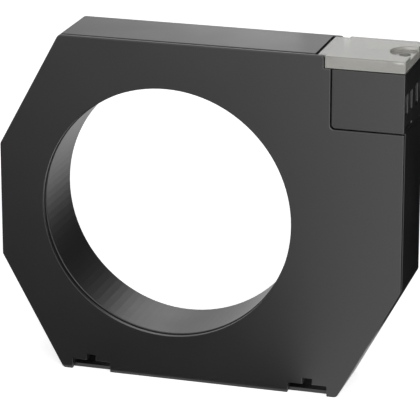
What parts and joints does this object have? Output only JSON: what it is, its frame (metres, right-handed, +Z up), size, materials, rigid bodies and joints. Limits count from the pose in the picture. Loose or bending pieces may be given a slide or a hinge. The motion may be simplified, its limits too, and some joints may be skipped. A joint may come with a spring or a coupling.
{
  "type": "current transformer",
  "caption": "Window-type summation current transformer with bevelled housing, round conductor window, bracket slots and screw terminals under a clear hinged cover.",
  "frame": {"origin": "on the bottom edge, half way across the width and the depth", "axes": "+Z up, front cover faces -Y, +X towards the terminals; the window's axis runs along Y"},
  "size_m": [0.17, 0.0324, 0.144],
  "materials": {
    "housing_plastic": "fine moulded texture, satin black",
    "front_plastic": "fine moulded texture, satin graphite",
    "clear_cover": "smoky clear polycarbonate, lightly frosted",
    "zinc_screws": "zinc plated",
    "screw_steel": "nickel plated",
    "clamp_steel": "zinc plated, dull",
    "tinned_copper": "tin plated, dull",
    "board_laminate": "solder mask",
    "component_black": "moulded epoxy",
    "component_blue": "lacquer",
    "core_tape": "wound alloy tape",
    "case_plastic": "natural nylon",
    "enamelled_wire": "enamelled copper",
    "test_wire": "enamelled copper",
    "wrap_tape": "polyester film",
    "shield_steel": "annealed alloy sheet",
    "pad_foam": "closed cell foam",
    "lead_red": "insulated lead",
    "lead_black": "insulated lead",
    "lead_white": "insulated lead",
    "lead_yellow": "insulated lead"
  },
  "bodies": {
    "housing": {"rear_housing": "housing_plastic", "front_cover": "front_plastic", "housing_screws": "zinc_screws", "terminal_housing": "front_plastic", "contact_bar_1": "tinned_copper", "contact_bar_2": "tinned_copper", "contact_bar_3": "tinned_copper", "contact_bar_4": "tinned_copper", "terminal_board": "board_laminate", "surge_diode": "component_black", "burden_resistor": "component_blue", "ring_core": "core_tape", "core_case": "case_plastic", "core_case_lid": "case_plastic", "secondary_winding": "enamelled_wire", "test_winding": "test_wire", "insulating_wrap": "wrap_tape", "shield_sleeve": "shield_steel", "rear_pad": "pad_foam", "front_pad": "pad_foam", "secondary_lead_1": "lead_red", "secondary_lead_2": "lead_black", "test_lead_1": "lead_white", "test_lead_2": "lead_yellow"},
    "cover": {"terminal_cover": "clear_cover"},
    "screw_1": {"clamp_screw_1": "screw_steel"},
    "clamp_1": {"wire_clamp_1": "clamp_steel"},
    "screw_2": {"clamp_screw_2": "screw_steel"},
    "clamp_2": {"wire_clamp_2": "clamp_steel"},
    "screw_3": {"clamp_screw_3": "screw_steel"},
    "clamp_3": {"wire_clamp_3": "clamp_steel"},
    "screw_4": {"clamp_screw_4": "screw_steel"},
    "clamp_4": {"wire_clamp_4": "clamp_steel"}
  },
  "joints": [
    {"name": "cover_hinge", "type": "hinge", "parent": "housing", "child": "cover", "pos_m": [0.0501, 0, 0.1425], "axis": [0, -1, 0], "range_deg": [0, 100]},
    {"name": "screw_1_turn", "type": "hinge", "parent": "housing", "child": "screw_1", "pos_m": [0.0788, -0.0125, 0.13045], "axis": [0, 0, -1], "range_deg": [0, 1728]},
    {"name": "clamp_1_rise", "type": "slide", "parent": "housing", "child": "clamp_1", "axis": [0, 0, 1], "range_m": [0, 0.0024]},
    {"name": "screw_2_turn", "type": "hinge", "parent": "housing", "child": "screw_2", "pos_m": [0.0788, -0.0049, 0.13045], "axis": [0, 0, -1], "range_deg": [0, 1728]},
    {"name": "clamp_2_rise", "type": "slide", "parent": "housing", "child": "clamp_2", "axis": [0, 0, 1], "range_m": [0, 0.0024]},
    {"name": "screw_3_turn", "type": "hinge", "parent": "housing", "child": "screw_3", "pos_m": [0.0788, 0.0049, 0.13045], "axis": [0, 0, -1], "range_deg": [0, 1728]},
    {"name": "clamp_3_rise", "type": "slide", "parent": "housing", "child": "clamp_3", "axis": [0, 0, 1], "range_m": [0, 0.0024]},
    {"name": "screw_4_turn", "type": "hinge", "parent": "housing", "child": "screw_4", "pos_m": [0.0788, 0.0125, 0.13045], "axis": [0, 0, -1], "range_deg": [0, 1728]},
    {"name": "clamp_4_rise", "type": "slide", "parent": "housing", "child": "clamp_4", "axis": [0, 0, 1], "range_m": [0, 0.0024]}
  ],
  "couplings": [
    {"joint": "screw_1_turn", "follows": "clamp_1_rise", "rad_per_m": 12566},
    {"joint": "screw_2_turn", "follows": "clamp_2_rise", "rad_per_m": 12566},
    {"joint": "screw_3_turn", "follows": "clamp_3_rise", "rad_per_m": 12566},
    {"joint": "screw_4_turn", "follows": "clamp_4_rise", "rad_per_m": 12566}
  ]
}
